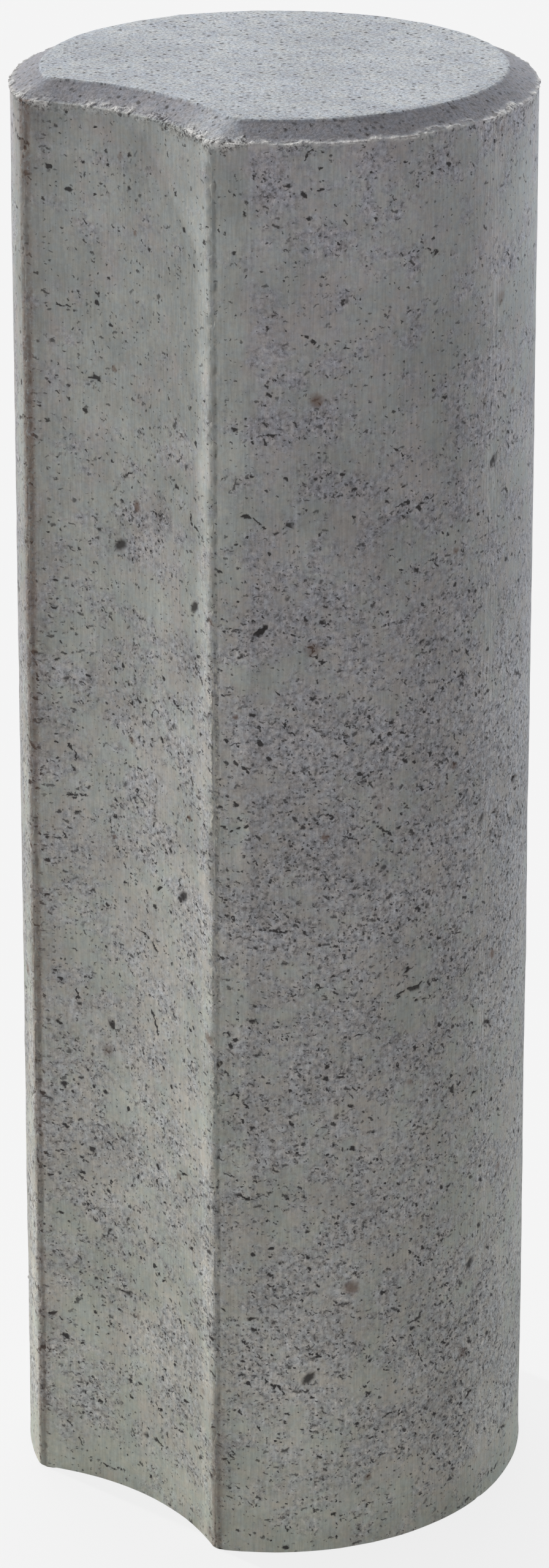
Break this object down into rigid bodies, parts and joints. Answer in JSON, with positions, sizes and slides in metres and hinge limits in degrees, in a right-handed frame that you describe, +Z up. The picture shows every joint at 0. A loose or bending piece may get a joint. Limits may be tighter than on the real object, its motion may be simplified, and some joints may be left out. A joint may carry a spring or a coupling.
{
  "type": "palisade block",
  "caption": "Round concrete palisade with a chamfered top and a concave groove down one side, in which the next block's round back nests.",
  "frame": {"origin": "centre of the round body, on the base face", "axes": "+Z up along the block's length, -Y out of the groove, +X to the right when looking into the groove from -Y"},
  "size_m": [0.14, 0.1311, 0.4],
  "materials": {
    "concrete": "rough cast concrete, as it leaves the mould, with fine sand grain, small air pores and fine vertical drag marks"
  },
  "bodies": {
    "root": {"palisade_block": "concrete"}
  },
  "joints": []
}
